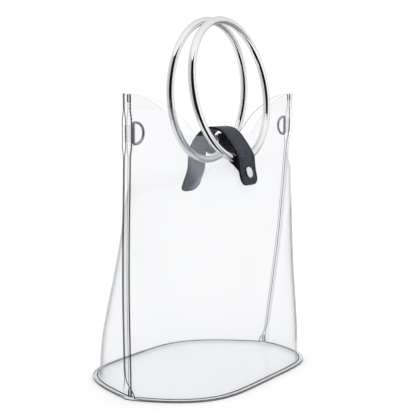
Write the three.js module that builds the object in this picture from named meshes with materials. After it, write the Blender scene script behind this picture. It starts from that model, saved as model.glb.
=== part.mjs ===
// Clear tote bag: two clear panels sewn to a flat base, a leather closure strap and two ring handles.
// Millimetres, +Z up, front toward -Y, origin on the floor under the middle of the base.
import * as THREE from 'three';

// Clear sheet, its seam allowances and the gap kept between neighbouring pieces
const SHEET = 1.2;
const GAP = 0.4;
const SEAM_FIN = 9;
const FIN_FULL_HEIGHT = 30;
const BASE_FLANGE = 6;
const BASE_THICKNESS = 1.2;

// Horizontal sections of the bag, from the base up: half the distance between the two side seams, the depth
// at which the seams meet, and the depth of each panel at its middle
const SECTIONS = [
  { z: 0, halfWidth: 112.8, seamY: -5.7, frontY: -72.2, backY: 72.7 },
  { z: 25, halfWidth: 115.8, seamY: -7.8, frontY: -72.7, backY: 64.4 },
  { z: 50, halfWidth: 118.9, seamY: -9.7, frontY: -70.4, backY: 56.1 },
  { z: 80, halfWidth: 122.5, seamY: -12, frontY: -65.7, backY: 44.9 },
  { z: 120, halfWidth: 126.4, seamY: -15.1, frontY: -59.7, backY: 28.5 },
  { z: 150, halfWidth: 128.2, seamY: -17, frontY: -55.6, backY: 15.8 },
  { z: 171, halfWidth: 129.2, seamY: -18.4, frontY: -52.4, backY: 6.6 },
  { z: 184, halfWidth: 129.8, seamY: -19.2, frontY: -49.9, backY: -5.6 },
  { z: 197, halfWidth: 130.4, seamY: -19.9, frontY: -39.2, backY: -16.6 },
  { z: 220, halfWidth: 131.6, seamY: -21.3, frontY: -30.2, backY: -16.6 },
  { z: 257.7, halfWidth: 133.3, seamY: -22.6, frontY: -29.6, backY: -18.5 },
];

// Two powers that shape each panel between its seams: a higher flat power keeps the middle flat for longer,
// a lower end power makes the end at the seam blunter
const POWERS = [
  { z: 0, frontFlat: 5.3, frontEnd: 0.86, backFlat: 4.5, backEnd: 1.15 },
  { z: 25, frontFlat: 3.6, frontEnd: 0.56, backFlat: 3.7, backEnd: 0.65 },
  { z: 50, frontFlat: 3.1, frontEnd: 0.51, backFlat: 3.2, backEnd: 0.5 },
  { z: 80, frontFlat: 2.8, frontEnd: 0.49, backFlat: 2.8, backEnd: 0.47 },
  { z: 120, frontFlat: 2.5, frontEnd: 0.47, backFlat: 2.5, backEnd: 0.47 },
  { z: 150, frontFlat: 2.4, frontEnd: 0.47, backFlat: 2.4, backEnd: 0.47 },
  { z: 171, frontFlat: 2.4, frontEnd: 0.48, backFlat: 2.4, backEnd: 0.48 },
  { z: 184, frontFlat: 2.4, frontEnd: 0.48, backFlat: 2.4, backEnd: 0.48 },
  { z: 197, frontFlat: 2.4, frontEnd: 0.47, backFlat: 2.4, backEnd: 0.47 },
  { z: 220, frontFlat: 2.4, frontEnd: 0.45, backFlat: 2.4, backEnd: 0.45 },
  { z: 257.7, frontFlat: 2.4, frontEnd: 0.6, backFlat: 2.4, backEnd: 0.6 },
];

// Top edge of both panels: a flat notch in the middle that rises to the seams
const TOP_EDGE = [
  { x: 0, z: 220.5 },
  { x: 44, z: 220.5 },
  { x: 48, z: 221.4 },
  { x: 52, z: 224.2 },
  { x: 60, z: 231 },
  { x: 70, z: 237.6 },
  { x: 80, z: 242.8 },
  { x: 92, z: 247.9 },
  { x: 106, z: 252.9 },
  { x: 119, z: 256 },
  { x: 133, z: 257.5 },
  { x: 150, z: 257.7 },
];
const PANEL_COLUMNS = 28;
const PANEL_ROWS = 26;

// Ring handles: each stands on its lowest point and leans in until the two tops nearly touch
const RING_RADIUS = 62.6;
const RING_WIRE = 6.8;
const RINGS = [
  { name: 'ring_front', pivotY: -45.9, pivotZ: 199.1, leanDeg: -9.2 },
  { name: 'ring_back', pivotY: -11.6, pivotZ: 197.5, leanDeg: 0.7 },
];

// Closure strap: its free arch over the panels, and the heights between which each end lies on its panel
const STRAP_WIDTH = 28;
const STRAP_THICKNESS = 2;
const LAYER_THICKNESS = 1.6;
const STRAP_ARCH = [
  { y: 5.8, z: 178 },
  { y: 2.8, z: 185 },
  { y: 1.7, z: 190 },
  { y: 1.1, z: 197 },
  { y: 0.8, z: 201.5 },
  { y: -0.2, z: 206 },
  { y: -2.8, z: 212 },
  { y: -5.8, z: 216.6 },
  { y: -9.5, z: 220.7 },
  { y: -13.2, z: 223.9 },
  { y: -17.4, z: 226.1 },
  { y: -22.5, z: 226.9 },
  { y: -29.6, z: 225.8 },
  { y: -36, z: 221.9 },
  { y: -41.8, z: 215.4 },
  { y: -45.9, z: 210 },
  { y: -49.4, z: 204.9 },
  { y: -51.7, z: 199.7 },
  { y: -52.2, z: 194 },
  { y: -52.8, z: 189.5 },
];
const END_CORNER = 8;
const BACK_END = { low: 166.6, high: 172 };
const FRONT_END = { low: 175.2, high: 183 };
const FRONT_TAB = { low: 175.7, high: 221.6, width: 17, topWidth: 28, widenFrom: 20, widenTo: 34 };
const BACK_PATCH = { low: 203, high: 219.5, width: 20 };

// Snap on the strap's front end
const SNAP_FROM_END = 12;
const SNAP_GAP = 0.6;
const SNAP_PROFILE = [
  { radius: 0, rise: 0 },
  { radius: 5.2, rise: 0 },
  { radius: 5.2, rise: 0.7 },
  { radius: 4.4, rise: 1.4 },
  { radius: 0, rise: 1.6 },
];

// Wire D-rings inside the side seams, each on a folded clear tab sewn between the two fins
const D_WIRE = 2.4;
const D_HEIGHT = 17.4;
const D_DEPTH = 13.8;
const D_BAR_X = 128.4;
const D_CENTRE_Z = 225.5;
const D_TAB_THICKNESS = 1;
const D_TAB_WIDTH = 13.5;
const D_TAB_END_X = 139;
const D_TAB_CLEARANCE = 0.3;
const D_TAB_SPREAD = 2.3;
const D_TAB_SPREAD_REACH = 20;

// Value of one column of a table at any height or place, on a smooth curve through its rows
function readTable(rows, key, column, at) {
  const last = rows.length - 1;
  const clamped = THREE.MathUtils.clamp(at, rows[0][key], rows[last][key]);
  let i = 0;
  while (i < last - 1 && rows[i + 1][key] < clamped) i += 1;
  const slope = (k) => {
    const before = rows[Math.max(k - 1, 0)];
    const after = rows[Math.min(k + 1, last)];
    const here = rows[k];
    const down = k > 0 ? (here[column] - before[column]) / (here[key] - before[key]) : 0;
    const up = k < last ? (after[column] - here[column]) / (after[key] - here[key]) : 0;
    if (k === 0) return up;
    if (k === last) return down;
    return down * up > 0 ? (2 * down * up) / (down + up) : 0;
  };
  const span = rows[i + 1][key] - rows[i][key];
  const t = (clamped - rows[i][key]) / span;
  const start = rows[i][column];
  const end = rows[i + 1][column];
  const fade = t * t * (3 - 2 * t);
  const startPart = t * (1 - t) * (1 - t) * span * slope(i);
  const endPart = t * t * (t - 1) * span * slope(i + 1);
  return start + (end - start) * fade + startPart + endPart;
}

// Half the space between the two fins' middle planes, wider where a D-ring tab lies between them
function finOffset(z) {
  const fromTab = Math.abs(z - D_CENTRE_Z);
  const apart = 1 - THREE.MathUtils.smoothstep(fromTab, D_TAB_WIDTH * 0.7, D_TAB_SPREAD_REACH);
  return (SHEET + GAP) / 2 + D_TAB_SPREAD * apart;
}

// Point of a panel's middle surface: side is -1 for the front and 1 for the back, across runs from -1 at the
// left seam to 1 at the right one
function panelPoint(side, across, z) {
  const seam = readTable(SECTIONS, 'z', 'seamY', z) + side * finOffset(z);
  const middle = readTable(SECTIONS, 'z', side < 0 ? 'frontY' : 'backY', z);
  const flatPower = readTable(POWERS, 'z', side < 0 ? 'frontFlat' : 'backFlat', z);
  const endPower = readTable(POWERS, 'z', side < 0 ? 'frontEnd' : 'backEnd', z);
  const bulge = Math.max(0, 1 - Math.abs(across) ** flatPower) ** endPower;
  const x = across * readTable(SECTIONS, 'z', 'halfWidth', z);
  return new THREE.Vector3(x, seam + (middle - seam) * bulge, z);
}

// Point at a distance outside a panel, near its middle
function outsidePanel(side, x, z, distance) {
  const across = x / readTable(SECTIONS, 'z', 'halfWidth', z);
  const step = 0.5;
  const slope = panelPoint(side, across, z + step).sub(panelPoint(side, across, z - step));
  const normal = new THREE.Vector3(0, slope.z, -slope.y).normalize().multiplyScalar(side);
  return panelPoint(side, across, z).addScaledVector(normal, distance);
}

// Closed solid of even thickness round a sheet given as points and four-sided faces
function thicken(points, faces, thickness) {
  const triangles = faces.flatMap(([a, b, c, d]) => [[a, b, c], [a, c, d]]);
  const touching = points.map(() => []);
  for (const corners of triangles) {
    const [p, q, r] = corners.map((k) => points[k]);
    const toR = new THREE.Vector3().subVectors(r, p);
    const normal = new THREE.Vector3().subVectors(q, p).cross(toR).normalize();
    corners.forEach((k, n) => {
      const toNext = new THREE.Vector3().subVectors(points[corners[(n + 1) % 3]], points[k]);
      const toLast = new THREE.Vector3().subVectors(points[corners[(n + 2) % 3]], points[k]);
      touching[k].push({ normal, angle: toNext.angleTo(toLast) });
    });
  }
  const offsets = touching.map((list) => {
    const mean = new THREE.Vector3();
    for (const { normal, angle } of list) mean.addScaledVector(normal, angle);
    mean.normalize();
    const total = list.reduce((sum, item) => sum + item.angle, 0);
    const facing = list.reduce((sum, item) => sum + item.angle * mean.dot(item.normal), 0) / total;
    return mean.multiplyScalar(thickness / 2 / facing);
  });

  const count = points.length;
  const outer = points.map((p, k) => p.clone().add(offsets[k]));
  const inner = points.map((p, k) => p.clone().sub(offsets[k]));
  const index = [];
  const edges = new Set();
  for (const [a, b, c] of triangles) {
    index.push(a, b, c, a + count, c + count, b + count);
    for (const [from, to] of [[a, b], [b, c], [c, a]]) edges.add(`${from} ${to}`);
  }
  for (const edge of edges) {
    const [from, to] = edge.split(' ').map(Number);
    if (!edges.has(`${to} ${from}`)) {
      index.push(to, from, from + count, to, from + count, to + count);
    }
  }
  const geometry = new THREE.BufferGeometry().setFromPoints([...outer, ...inner]);
  geometry.setIndex(index);
  geometry.computeVertexNormals();
  return geometry;
}

// Faces of a grid of points with the given number of points in a row
function gridFaces(columns, rows) {
  const faces = [];
  for (let j = 0; j < rows - 1; j += 1) {
    for (let i = 0; i < columns - 1; i += 1) {
      const k = j * columns + i;
      faces.push([k, k + 1, k + columns + 1, k + columns]);
    }
  }
  return faces;
}

// Places across a panel, closer together toward the seams
const ACROSS = Array.from({ length: PANEL_COLUMNS + 1 }, (_, i) => (
  Math.sin(Math.PI * (i / PANEL_COLUMNS - 0.5))
));
const FLANGE_Z = BASE_THICKNESS + GAP + SHEET / 2;

// Outward direction of a panel's bottom flange, which turns with the base outline
function flangeDirection(side, across) {
  if (Math.abs(across) === 1) return new THREE.Vector3(across, 0, 0);
  const step = 0.002;
  const from = panelPoint(side, Math.max(across - step, -1), FLANGE_Z);
  const along = panelPoint(side, Math.min(across + step, 1), FLANGE_Z).sub(from);
  return new THREE.Vector3(along.y, -along.x, 0).normalize().multiplyScalar(-side);
}

// Clear panel with its wall, its two seam fins and its bottom flange
function panelGeometry(side) {
  const columns = ACROSS.length;
  const points = [];
  for (let j = 0; j <= PANEL_ROWS; j += 1) {
    for (const across of ACROSS) {
      let top = SECTIONS.at(-1).z;
      for (let pass = 0; pass < 4; pass += 1) {
        const x = Math.abs(across) * readTable(SECTIONS, 'z', 'halfWidth', top);
        top = readTable(TOP_EDGE, 'x', 'z', x);
      }
      points.push(panelPoint(side, across, THREE.MathUtils.lerp(FLANGE_Z, top, j / PANEL_ROWS)));
    }
  }
  const faces = gridFaces(columns, PANEL_ROWS + 1);

  const rim = [];
  for (let j = PANEL_ROWS; j > 0; j -= 1) rim.push({ at: j * columns, across: -1 });
  ACROSS.forEach((across, i) => rim.push({ at: i, across }));
  for (let j = 1; j <= PANEL_ROWS; j += 1) rim.push({ at: (j + 1) * columns - 1, across: 1 });
  const first = points.length;
  for (const { at, across } of rim) {
    const rise = THREE.MathUtils.smoothstep(points[at].z, FLANGE_Z, FIN_FULL_HEIGHT);
    const width = Math.abs(across) === 1 ? THREE.MathUtils.lerp(BASE_FLANGE, SEAM_FIN, rise) : BASE_FLANGE;
    points.push(points[at].clone().addScaledVector(flangeDirection(side, across), width));
  }
  rim.slice(1).forEach(({ at }, n) => faces.push([at, rim[n].at, first + n, first + n + 1]));
  return thicken(points, faces, SHEET);
}

// Flat base with the outline of both flanges
function baseGeometry() {
  const outline = [];
  for (const side of [-1, 1]) {
    const order = side < 0 ? ACROSS : [...ACROSS].reverse();
    for (const across of order) {
      const edge = panelPoint(side, across, FLANGE_Z);
      edge.addScaledVector(flangeDirection(side, across), BASE_FLANGE);
      outline.push(new THREE.Vector2(edge.x, edge.y));
    }
  }
  return new THREE.ExtrudeGeometry(new THREE.Shape(outline), { depth: BASE_THICKNESS, bevelEnabled: false });
}

// Leather band along a path of centre points, with rounded corners at the ends that ask for them
function bandGeometry(path, width, thickness, roundStart, roundEnd, wide = null) {
  const half = width / 2;
  const halfAt = (s) => {
    if (!wide) return half;
    return half + (wide.topWidth / 2 - half) * THREE.MathUtils.smoothstep(s, wide.widenFrom, wide.widenTo);
  };
  const curve = new THREE.CatmullRomCurve3(path);
  const length = curve.getLength();
  const corner = [0, 30, 60].map(THREE.MathUtils.degToRad).map((turn) => ({
    s: END_CORNER * (1 - Math.cos(turn)),
    half: half - END_CORNER * (1 - Math.sin(turn)),
  }));
  const straightFrom = roundStart ? END_CORNER : 0;
  const straightTo = roundEnd ? length - END_CORNER : length;
  const stations = roundStart ? [...corner] : [];
  const runs = Math.max(3, Math.round((straightTo - straightFrom) / 3.5));
  for (let k = 0; k <= runs; k += 1) {
    const s = THREE.MathUtils.lerp(straightFrom, straightTo, k / runs);
    stations.push({ s, half: halfAt(s) });
  }
  if (roundEnd) {
    for (const turn of [...corner].reverse()) stations.push({ s: length - turn.s, half: turn.half });
  }
  const spread = [-1, -0.5, 0, 0.5, 1];
  const points = stations.flatMap((station) => {
    const centre = curve.getPointAt(THREE.MathUtils.clamp(station.s / length, 0, 1));
    return spread.map((k) => new THREE.Vector3(k * station.half, 0, 0).add(centre));
  });
  return thicken(points, gridFaces(spread.length, stations.length), thickness);
}

// Path that stays at one distance from a panel between two heights
function runOnPanel(side, low, high, distance) {
  const steps = Math.max(2, Math.round((high - low) / 4));
  return Array.from({ length: steps + 1 }, (_, k) => (
    outsidePanel(side, 0, THREE.MathUtils.lerp(low, high, k / steps), distance)
  ));
}

// Distances of the leather layers' middle surfaces from the panel's own
const LAYER_DISTANCE = SHEET / 2 + GAP + LAYER_THICKNESS / 2;
const BACK_STRAP_DISTANCE = SHEET / 2 + GAP + STRAP_THICKNESS / 2;
const FRONT_STRAP_DISTANCE = BACK_STRAP_DISTANCE + LAYER_THICKNESS + GAP;

// Middle line of the closure strap from its back end, over the top, to its front end
function strapPath() {
  const back = runOnPanel(1, BACK_END.low, BACK_END.high, BACK_STRAP_DISTANCE);
  const front = runOnPanel(-1, FRONT_END.low, FRONT_END.high, FRONT_STRAP_DISTANCE).reverse();
  const arch = STRAP_ARCH.map(({ y, z }) => new THREE.Vector3(0, y, z));
  return [...back, ...arch, ...front];
}

// Snap cap that lies on the strap's front end
function snapMesh(material) {
  const profile = SNAP_PROFILE.map(({ radius, rise }) => new THREE.Vector2(radius, rise));
  const cap = new THREE.Mesh(new THREE.LatheGeometry(profile, 20), material);
  const curve = new THREE.CatmullRomCurve3(strapPath());
  const at = 1 - SNAP_FROM_END / curve.getLength();
  const along = curve.getTangentAt(at);
  const outward = new THREE.Vector3(0, along.z, -along.y);
  cap.position.copy(curve.getPointAt(at)).addScaledVector(outward, STRAP_THICKNESS / 2 + SNAP_GAP);
  cap.quaternion.setFromUnitVectors(new THREE.Vector3(0, 1, 0), outward);
  return cap;
}

// Closed wire loop round a flat outline in the X-Z plane
function wireLoop(outline, diameter, sides) {
  const count = outline.length;
  const positions = [];
  outline.forEach((p, k) => {
    const along = new THREE.Vector2().subVectors(outline[(k + 1) % count], outline[(k + count - 1) % count]);
    const outward = new THREE.Vector2(along.y, -along.x).normalize();
    for (let n = 0; n < sides; n += 1) {
      const angle = (2 * Math.PI * n) / sides;
      const out = (diameter / 2) * Math.cos(angle);
      positions.push(p.x + outward.x * out, (diameter / 2) * Math.sin(angle), p.y + outward.y * out);
    }
  });
  const index = [];
  for (let k = 0; k < count; k += 1) {
    for (let n = 0; n < sides; n += 1) {
      const a = k * sides + n;
      const b = k * sides + ((n + 1) % sides);
      const c = ((k + 1) % count) * sides + n;
      const d = ((k + 1) % count) * sides + ((n + 1) % sides);
      index.push(a, b, d, a, d, c);
    }
  }
  const geometry = new THREE.BufferGeometry();
  geometry.setAttribute('position', new THREE.Float32BufferAttribute(positions, 3));
  geometry.setIndex(index);
  geometry.computeVertexNormals();
  return geometry;
}

// D-ring wire with its straight bar at x = 0 and its bow toward +x
function dRingGeometry() {
  const half = D_HEIGHT / 2;
  const corner = 2.2;
  const outline = new THREE.Shape();
  outline.moveTo(0, half - corner);
  outline.lineTo(0, corner - half);
  outline.quadraticCurveTo(0, -half, corner, -half);
  outline.bezierCurveTo(D_DEPTH * 1.27, -half, D_DEPTH * 1.27, half, corner, half);
  outline.quadraticCurveTo(0, half, 0, half - corner);
  const points = outline.getPoints(8);
  return wireLoop(points.slice(0, -1), D_WIRE, 8);
}

// Folded tab: a loop round the D-ring's bar and a flat tail toward -x, as wide as the bar's inside
function dTabGeometry() {
  const hole = D_WIRE / 2 + D_TAB_CLEARANCE;
  const loop = hole + D_TAB_THICKNESS;
  const tail = D_BAR_X - D_TAB_END_X;
  const half = D_TAB_THICKNESS / 2;
  const meet = Math.asin(half / loop);
  const shape = new THREE.Shape();
  shape.moveTo(tail, half);
  shape.lineTo(tail, -half);
  shape.absarc(0, 0, loop, Math.PI + meet, 3 * Math.PI - meet, false);
  const opening = new THREE.Path();
  opening.absarc(0, 0, hole, 0, 2 * Math.PI, true);
  shape.holes.push(opening);
  const settings = { depth: D_TAB_WIDTH, bevelEnabled: false, curveSegments: 8 };
  return new THREE.ExtrudeGeometry(shape, settings).translate(0, 0, -D_TAB_WIDTH / 2);
}

const clear = new THREE.MeshStandardMaterial({
  color: 0xe9eef2,
  roughness: 0.08,
  transparent: true,
  opacity: 0.3,
});
const chrome = new THREE.MeshStandardMaterial({ color: 0xe4e5e8, roughness: 0.08, metalness: 1 });
const leather = new THREE.MeshStandardMaterial({ color: 0x16171b, roughness: 0.55 });

const bag = new THREE.Group();

function addPiece(name, piece, parent = bag) {
  piece.name = name;
  parent.add(piece);
  return piece;
}

addPiece('front_panel', new THREE.Mesh(panelGeometry(-1), clear));
addPiece('back_panel', new THREE.Mesh(panelGeometry(1), clear));
addPiece('base_panel', new THREE.Mesh(baseGeometry(), clear));

for (const { name, pivotY, pivotZ, leanDeg } of RINGS) {
  const pivot = new THREE.Group();
  pivot.position.set(0, pivotY, pivotZ);
  pivot.rotation.x = THREE.MathUtils.degToRad(leanDeg);
  bag.add(pivot);
  const ring = new THREE.Mesh(new THREE.TorusGeometry(RING_RADIUS, RING_WIRE / 2, 10, 48), chrome);
  ring.rotation.x = Math.PI / 2;
  ring.position.z = RING_RADIUS;
  addPiece(name, ring, pivot);
}

const strap = bandGeometry(strapPath(), STRAP_WIDTH, STRAP_THICKNESS, true, true);
addPiece('strap', new THREE.Mesh(strap, leather));
const tabPath = runOnPanel(-1, FRONT_TAB.low, FRONT_TAB.high, LAYER_DISTANCE);
const tab = bandGeometry(tabPath, FRONT_TAB.width, LAYER_THICKNESS, true, false, FRONT_TAB);
addPiece('front_tab', new THREE.Mesh(tab, leather));
const patchPath = runOnPanel(1, BACK_PATCH.low, BACK_PATCH.high, LAYER_DISTANCE);
const patch = bandGeometry(patchPath, BACK_PATCH.width, LAYER_THICKNESS, true, false);
addPiece('back_patch', new THREE.Mesh(patch, leather));
addPiece('snap_cap', snapMesh(chrome));

for (const [label, side] of [['left', -1], ['right', 1]]) {
  const place = new THREE.Group();
  place.position.set(side * D_BAR_X, readTable(SECTIONS, 'z', 'seamY', D_CENTRE_Z), D_CENTRE_Z);
  place.rotation.z = side > 0 ? Math.PI : 0;
  bag.add(place);
  addPiece(`d_ring_${label}`, new THREE.Mesh(dRingGeometry(), chrome), place);
  addPiece(`d_tab_${label}`, new THREE.Mesh(dTabGeometry(), clear), place);
}

export default bag;
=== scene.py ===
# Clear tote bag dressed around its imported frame: +Z up, front toward -Y, millimetres until a mesh is made
import math

import bpy
import numpy as np
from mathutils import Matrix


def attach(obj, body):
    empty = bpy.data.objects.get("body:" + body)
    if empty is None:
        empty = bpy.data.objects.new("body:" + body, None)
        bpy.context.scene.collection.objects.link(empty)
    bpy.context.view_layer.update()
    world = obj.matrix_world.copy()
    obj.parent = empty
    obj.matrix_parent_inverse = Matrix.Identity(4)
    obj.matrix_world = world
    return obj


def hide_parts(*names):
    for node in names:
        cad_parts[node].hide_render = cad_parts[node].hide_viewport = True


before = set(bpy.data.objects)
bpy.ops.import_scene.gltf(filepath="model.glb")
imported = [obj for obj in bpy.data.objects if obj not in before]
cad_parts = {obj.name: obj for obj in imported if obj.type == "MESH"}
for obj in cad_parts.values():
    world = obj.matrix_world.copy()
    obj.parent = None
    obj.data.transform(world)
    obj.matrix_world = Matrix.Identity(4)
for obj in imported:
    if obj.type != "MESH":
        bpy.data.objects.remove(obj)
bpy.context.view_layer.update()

# Clear walls: two panels of soft clear vinyl, front and back, each cut with a notch in its top edge.
# Each one bows out from the side seams, stands on a flange turned out at the bottom, and ends at the sides in
# a flat fin, where the two are sewn face to face. The cut edges show as slate lines, pale on the far side.
MM = 0.001
VINYL = 0.9
SEAM_GAP = 0.05
FIN_WIDTH = 9
FIN_FULL_HEIGHT = 30
FLANGE_WIDTH = 6
FLANGE_HEIGHT = 1.65
FIN_SPLAY_HEIGHT = 26
FIN_SPLAY = math.radians(58)
CORNER_TURN = 14
WALL_COLUMNS = 116
WALL_ROWS = 92
TAB_HEIGHT = 225.5
TAB_WIDTH = 13.5
TAB_SPREAD = 1.2
TAB_SPREAD_FULL = 0.7
TAB_SPREAD_REACH = 20
SLACK_DEPTH = 0.7
SLACK_WAVES = (19, 31, 27, 53)
SLACK_CLEAR_OF_STRAP = (18, 45)
RIM_STRIPS = 4
TOP_EDGE_DROP = 5
PALE_FIN_FROM = 7.5
FAR_SIDE = np.array([0.844, 0.536])
FAINT_FROM = 20
CUT_EDGE, FAINT_EDGE, CLEAR_EDGE = 1, 2, 3

# painted reflections on each wall, laid on as extra haze (a broad pale reflection on the front, a bright
# streak on the back):
# where the haze starts, is full, fades and ends, across and up the wall, and how much of it there is
PAINTED_REFLECTION_PLACES = {
    "front": [((-80, -62, 5, 40), (150, 175, 236, 250), 0.08)],
    "back": [((-4, 4, 6, 12), (160, 172, 182, 194), 0.1)],
}
# height, half width between the seams, depth of the seams, of the front and of the back wall at the middle
WALL_LEVELS = np.array([
    (0, 112.8, -5.7, -72.2, 72.7),
    (25, 115.8, -7.8, -72.7, 64.4),
    (50, 118.9, -9.7, -70.4, 56.1),
    (80, 122.5, -12, -65.7, 44.9),
    (120, 126.4, -15.1, -59.7, 28.5),
    (150, 128.2, -17, -55.6, 15.8),
    (171, 129.2, -18.4, -52.4, 6.6),
    (184, 129.8, -19.2, -49.9, -5.6),
    (197, 130.4, -19.9, -39.2, -16.6),
    (220, 131.6, -21.3, -30.2, -16.6),
    (257.7, 133.3, -22.6, -29.6, -18.5),
])
# at the same heights, how flat the middle and how blunt the ends of the front and of the back wall are
WALL_POWERS = np.array([
    (5.3, 0.86, 4.5, 1.15),
    (3.6, 0.56, 3.7, 0.65),
    (3.1, 0.51, 3.2, 0.5),
    (2.8, 0.49, 2.8, 0.47),
    (2.5, 0.47, 2.5, 0.47),
    (2.4, 0.47, 2.4, 0.47),
    (2.4, 0.48, 2.4, 0.48),
    (2.4, 0.48, 2.4, 0.48),
    (2.4, 0.47, 2.4, 0.47),
    (2.4, 0.45, 2.4, 0.45),
    (2.4, 0.6, 2.4, 0.6),
])
# distance from the middle, and height of the top edge there
TOP_EDGE = np.array([
    (0, 220.5), (44, 220.5), (48, 221.4), (52, 224.2), (60, 231), (70, 237.6), (80, 242.8), (92, 247.9),
    (106, 252.9), (119, 256), (133, 257.5), (150, 257.7),
])


def curve_through(places, values):
    """Smooth curve through measured points that never swings past them."""
    steps = np.diff(places)
    rises = np.diff(values) / steps
    slopes = np.concatenate(([rises[0]], np.zeros(len(rises) - 1), [rises[-1]]))
    for k in range(1, len(rises)):
        if rises[k - 1] * rises[k] > 0:
            slopes[k] = 2 * rises[k - 1] * rises[k] / (rises[k - 1] + rises[k])

    def read(place):
        place = np.clip(place, places[0], places[-1])
        k = np.clip(np.searchsorted(places, place, side="right") - 1, 0, len(steps) - 1)
        t = (place - places[k]) / steps[k]
        fade = t * t * (3 - 2 * t)
        leaving = t * (1 - t) ** 2 * steps[k] * slopes[k]
        arriving = t * t * (t - 1) * steps[k] * slopes[k + 1]
        return values[k] + (values[k + 1] - values[k]) * fade + leaving + arriving

    return read


half_width_at, seam_depth_at, front_depth_at, back_depth_at = (
    curve_through(WALL_LEVELS[:, 0], WALL_LEVELS[:, k]) for k in range(1, 5)
)
front_flat_at, front_end_at, back_flat_at, back_end_at = (
    curve_through(WALL_LEVELS[:, 0], WALL_POWERS[:, k]) for k in range(4)
)
top_edge_at = curve_through(TOP_EDGE[:, 0], TOP_EDGE[:, 1])


def fade_between(value, low, high):
    """0 below low, 1 above high, smooth between them."""
    t = np.clip((value - low) / (high - low), 0, 1)
    return t * t * (3 - 2 * t)


def fin_offset(height):
    """Half the space between the two fins' middles, wider where a D-ring tab lies between them."""
    near_tab = 1 - fade_between(np.abs(height - TAB_HEIGHT), TAB_WIDTH * TAB_SPREAD_FULL, TAB_SPREAD_REACH)
    return (VINYL + SEAM_GAP) / 2 + TAB_SPREAD * near_tab


def wall_points(side, across, height):
    """Middle of the front (side -1) or back (side 1) wall; across runs from -1 to 1, seam to seam."""
    across, height = np.broadcast_arrays(np.asarray(across, float), np.asarray(height, float))
    seam = seam_depth_at(height) + side * fin_offset(height)
    if side < 0:
        middle, flat, end = front_depth_at(height), front_flat_at(height), front_end_at(height)
    else:
        middle, flat, end = back_depth_at(height), back_flat_at(height), back_end_at(height)
    bow = np.clip(1 - np.abs(across) ** flat, 0, 1) ** end
    return np.stack([across * half_width_at(height), seam + (middle - seam) * bow, height], axis=-1)


def outward_at_flange(side, across):
    """Level direction square to the foot of a wall, away from the bag."""
    step = 0.002
    before = wall_points(side, np.clip(across - step, -1, 1), FLANGE_HEIGHT)
    after = wall_points(side, np.clip(across + step, -1, 1), FLANGE_HEIGHT)
    along = after - before
    outward = -side * np.stack([along[:, 1], -along[:, 0], np.zeros(len(along))], axis=-1)
    return outward / np.linalg.norm(outward, axis=1, keepdims=True)


def grid_faces(columns, rows, first=0):
    """Four-sided faces between the points of a grid, listed row by row."""
    k = first + np.arange(columns * rows).reshape(rows, columns)
    corners = (k[:-1, :-1], k[:-1, 1:], k[1:, 1:], k[1:, :-1])
    return np.stack(corners, axis=-1).reshape(-1, 4)


def thicken(points, faces, thickness):
    """Closed sheet of even thickness, with a mark on the faces of its cut edge."""
    corners = points[faces]
    normals = np.cross(corners[:, 2] - corners[:, 0], corners[:, 3] - corners[:, 1])
    normals /= np.linalg.norm(normals, axis=1, keepdims=True) + 1e-12
    mean = np.zeros_like(points)
    count = np.zeros(len(points))
    for k in range(4):
        np.add.at(mean, faces[:, k], normals)
        np.add.at(count, faces[:, k], 1)
    size = np.linalg.norm(mean, axis=1)
    facing = np.clip(size / count, 0.6, 1)
    offset = mean / size[:, None] * (thickness / 2 / facing)[:, None]
    used = {}
    for face in faces:
        for k in range(4):
            used[(face[k], face[(k + 1) % 4])] = True
    rim = [(b, a) for a, b in used if (b, a) not in used]
    total = len(points)
    edge_faces = np.array([(a, b, b + total, a + total) for a, b in rim])
    all_faces = np.concatenate([faces, faces[:, ::-1] + total, edge_faces])
    is_edge = np.concatenate([np.zeros(2 * len(faces), int), np.ones(len(edge_faces), int)])
    return np.concatenate([points + offset, points - offset]), all_faces, is_edge


class Shade:
    """A socket in a material's nodes: sums on it add Math nodes, and add() adds any other node."""

    def __init__(self, tree, socket=None):
        self.tree = tree
        self.socket = socket

    def add(self, kind, settings, sockets, output=0):
        node = self.tree.nodes.new(kind)
        for name, value in settings.items():
            setattr(node, name, value)
        for name, value in sockets.items():
            if isinstance(value, Shade):
                self.tree.links.new(value.socket, node.inputs[name])
            else:
                node.inputs[name].default_value = value
        return Shade(self.tree, node.outputs[output] if node.outputs else None)

    def maths(self, operation, *terms):
        return self.add("ShaderNodeMath", {"operation": operation}, dict(enumerate(terms)))

    def blend_colours(self, factor, first, second):
        return self.add("ShaderNodeMix", {"data_type": "RGBA"}, {0: factor, 6: first, 7: second}, 2)

    def __add__(self, other):
        return self.maths("ADD", self, other)

    def __rsub__(self, other):
        return self.maths("SUBTRACT", other, self)

    def __mul__(self, other):
        return self.maths("MULTIPLY", self, other)

    def __pow__(self, other):
        return self.maths("POWER", self, other)

    __radd__ = __add__
    __rmul__ = __mul__


def start_material(name):
    """Empty material, its nodes, and the place on the object that its patterns are laid out by."""
    material = bpy.data.materials.new(name)
    material.use_nodes = True
    material.node_tree.nodes.clear()
    nodes = Shade(material.node_tree)
    return material, nodes, nodes.add("ShaderNodeTexCoord", {}, {}, "Object")


def end_material(nodes, shader):
    nodes.add("ShaderNodeOutputMaterial", {}, {"Surface": shader})


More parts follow.
